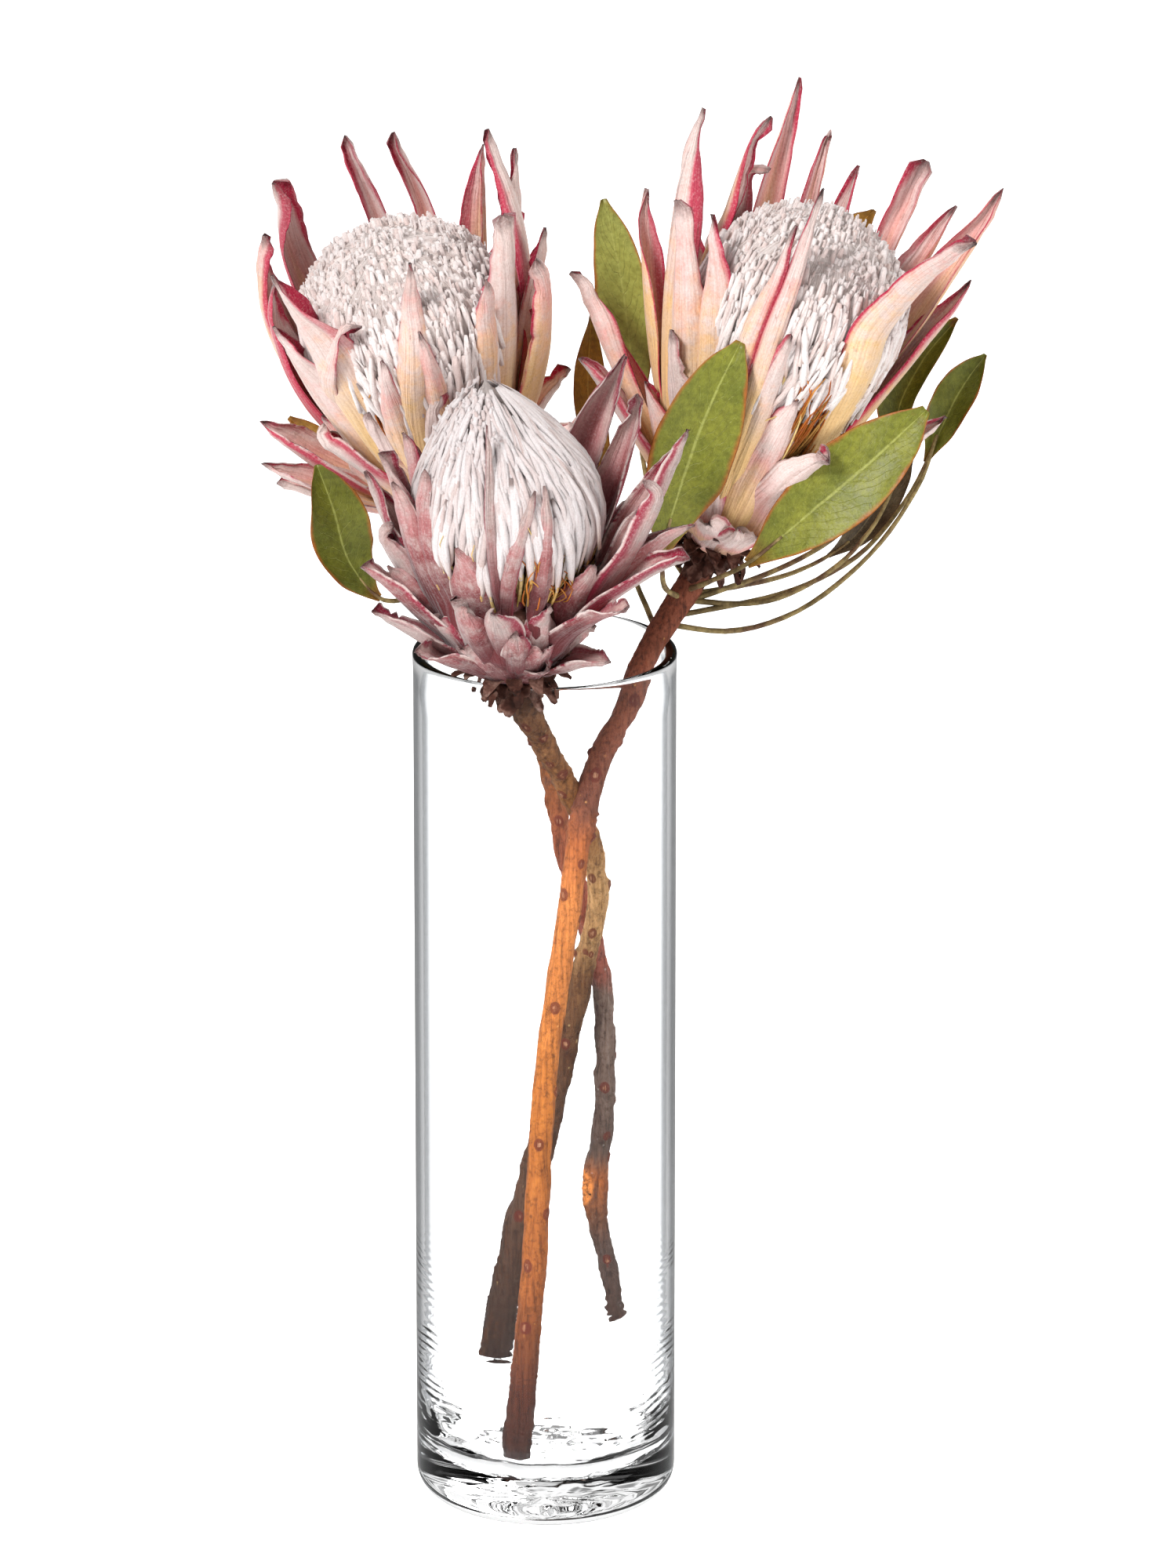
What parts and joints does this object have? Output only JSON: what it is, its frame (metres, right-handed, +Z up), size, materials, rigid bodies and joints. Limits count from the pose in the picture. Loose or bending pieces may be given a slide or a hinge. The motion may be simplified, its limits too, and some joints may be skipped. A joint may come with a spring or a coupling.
{
  "type": "dried king protea in vase",
  "caption": "Dried king protea blooms with pointed bracts and a dome of florets, on woody stems with leathery leaves, standing in a tall clear glass cylinder vase.",
  "frame": {"origin": "centre of the vase's underside, where it stands on the table", "axes": "+Z up along the vase's axis, +X to the right and -Y towards someone who faces the bunch as in the picture"},
  "size_m": [0.3412, 0.2189, 0.6519],
  "materials": {
    "glass": "gloss",
    "stem_orange": "matte",
    "stem_tan": "matte",
    "stem_red_grey": "matte",
    "bract": "matte",
    "floret": "matte",
    "leaf": "satin",
    "leaf_mustard": "satin",
    "leaf_dry": "matte"
  },
  "bodies": {
    "root": {"vase": "glass", "stem_right": "stem_orange", "stem_front": "stem_tan", "stem_left": "stem_red_grey", "bracts_front": "bract", "bracts_left": "bract", "bracts_right": "bract", "florets_front": "floret", "florets_left": "floret", "florets_right": "floret", "leaf_top": "leaf", "leaf_left": "leaf", "leaf_front": "leaf", "leaf_right": "leaf", "leaf_folded": "leaf", "leaf_far": "leaf", "leaf_back": "leaf", "leaf_middle": "leaf_mustard", "leaf_behind": "leaf", "leaf_dry": "leaf_dry", "stalk_low": "leaf_dry", "stalk_high": "leaf_dry"}
  },
  "joints": []
}
